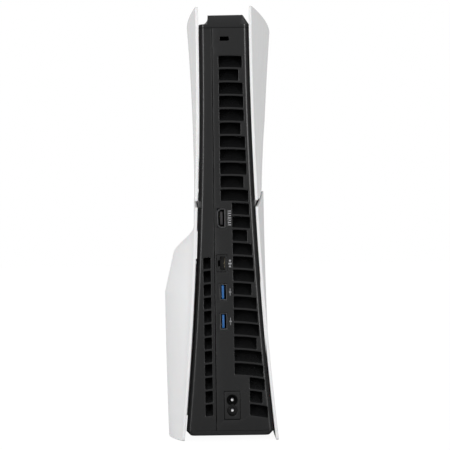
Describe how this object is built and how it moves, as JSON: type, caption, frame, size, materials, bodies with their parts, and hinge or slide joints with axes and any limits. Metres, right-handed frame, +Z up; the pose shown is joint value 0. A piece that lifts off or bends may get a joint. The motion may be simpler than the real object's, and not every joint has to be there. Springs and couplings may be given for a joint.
{
  "type": "upright game console",
  "caption": "Slim upright game console: black louvred housing with rear connectors between clip-on white side covers, with a disc drive and a cooling fan inside.",
  "frame": {"origin": "on the floor, under the middle of the console's outer box", "axes": "+Z up; +Y out of the rear face that holds the connectors; +X towards the disc drive side"},
  "size_m": [0.0944, 0.2159, 0.358],
  "materials": {
    "cover_gloss": "white moulded plastic, satin gloss",
    "cover_matte": "white moulded plastic, fine matt grain",
    "housing_black": "black moulded plastic, fine grain",
    "gloss_black": "polished black plastic",
    "light_strip": "frosted clear plastic",
    "sheet_steel": "plated sheet steel",
    "bright_metal": "bright nickel plate",
    "aluminium_raw": "plain aluminium",
    "brass_bush": "turned brass",
    "socket_blue": "blue moulded plastic",
    "circuit_board": "dark green solder mask",
    "chip_black": "black moulded package with a metal lid",
    "roller_rubber": "matt black rubber"
  },
  "bodies": {
    "console": {"housing_drive_side": "housing_black", "housing_plain_side": "housing_black", "top_cap": "housing_black", "base_plate": "housing_black", "intake_grille_drive_side": "housing_black", "intake_grille_plain_side": "housing_black", "fan_frame": "housing_black", "network_jack": "housing_black", "mains_inlet": "housing_black", "video_socket_tongue": "housing_black", "power_supply": "housing_black", "front_fascia": "gloss_black", "drive_bezel": "gloss_black", "status_light_drive_side": "light_strip", "status_light_plain_side": "light_strip", "video_socket_shell": "sheet_steel", "data_socket_shell_upper": "sheet_steel", "data_socket_shell_lower": "sheet_steel", "front_socket_upper": "sheet_steel", "front_socket_lower": "sheet_steel", "shield_drive_side": "sheet_steel", "shield_plain_side": "sheet_steel", "drive_case": "sheet_steel", "drive_lid": "sheet_steel", "clock_battery": "sheet_steel", "storage_bay_cover": "sheet_steel", "fan_motor": "sheet_steel", "spindle_motor": "sheet_steel", "sled_motor": "sheet_steel", "housing_screw_1": "sheet_steel", "housing_screw_2": "sheet_steel", "housing_screw_3": "sheet_steel", "housing_screw_4": "sheet_steel", "mains_pin_lower": "bright_metal", "mains_pin_upper": "bright_metal", "sled_rod_lower": "bright_metal", "sled_rod_upper": "bright_metal", "storage_bay_screw": "bright_metal", "heat_sink": "aluminium_raw", "stand_screw_bush": "brass_bush", "data_socket_tongue_upper": "socket_blue", "data_socket_tongue_lower": "socket_blue", "mainboard": "circuit_board", "storage_card": "circuit_board", "antenna_rear": "circuit_board", "antenna_front": "circuit_board", "drive_board": "circuit_board", "processor": "chip_black"},
    "upper_cover_drive": {"upper_cover_drive_side": "cover_gloss"},
    "lower_cover_drive": {"lower_cover_drive_side": "cover_matte"},
    "upper_cover_plain": {"upper_cover_plain_side": "cover_gloss"},
    "lower_cover_plain": {"lower_cover_plain_side": "cover_matte"},
    "fan": {"fan_rotor": "housing_black"},
    "power": {"power_button": "gloss_black"},
    "eject": {"eject_button": "gloss_black"},
    "turntable": {"disc_turntable": "housing_black"},
    "sled": {"laser_sled": "aluminium_raw"},
    "sled_screw": {"sled_screw": "bright_metal"},
    "roller": {"loading_roller": "roller_rubber"}
  },
  "joints": [
    {"name": "upper_cover_drive_pull", "type": "slide", "parent": "console", "child": "upper_cover_drive", "axis": [1, 0, 0], "range_m": [0, 0.03]},
    {"name": "upper_cover_plain_pull", "type": "slide", "parent": "console", "child": "upper_cover_plain", "axis": [-1, 0, 0], "range_m": [0, 0.03]},
    {"name": "lower_cover_drive_pull", "type": "slide", "parent": "console", "child": "lower_cover_drive", "axis": [1, 0, 0], "range_m": [0, 0.03]},
    {"name": "lower_cover_plain_pull", "type": "slide", "parent": "console", "child": "lower_cover_plain", "axis": [-1, 0, 0], "range_m": [0, 0.03]},
    {"name": "fan_spin", "type": "hinge", "parent": "console", "child": "fan", "pos_m": [0, -0.03, 0.278], "axis": [1, 0, 0], "continuous": true},
    {"name": "power_press", "type": "slide", "parent": "console", "child": "power", "axis": [0, 1, 0], "range_m": [0, 0.0006], "stiffness_N_per_m": 1500},
    {"name": "eject_press", "type": "slide", "parent": "console", "child": "eject", "axis": [0, 1, 0], "range_m": [0, 0.0006], "stiffness_N_per_m": 1500},
    {"name": "turntable_spin", "type": "hinge", "parent": "console", "child": "turntable", "pos_m": [0.02659, -0.02925, 0.079], "axis": [1, 0, 0], "continuous": true},
    {"name": "roller_spin", "type": "hinge", "parent": "console", "child": "roller", "pos_m": [0.02394, -0.086, 0.079], "axis": [0, 0, 1], "continuous": true},
    {"name": "sled_slide", "type": "slide", "parent": "console", "child": "sled", "axis": [0, 1, 0], "range_m": [0, 0.03]},
    {"name": "sled_screw_spin", "type": "hinge", "parent": "console", "child": "sled_screw", "pos_m": [0.02114, 0.015, 0.055], "axis": [0, 1, 0], "range_deg": [-10, 3610]}
  ],
  "couplings": [
    {"joint": "sled_screw_spin", "follows": "sled_slide", "rad_per_m": 2094.4}
  ]
}
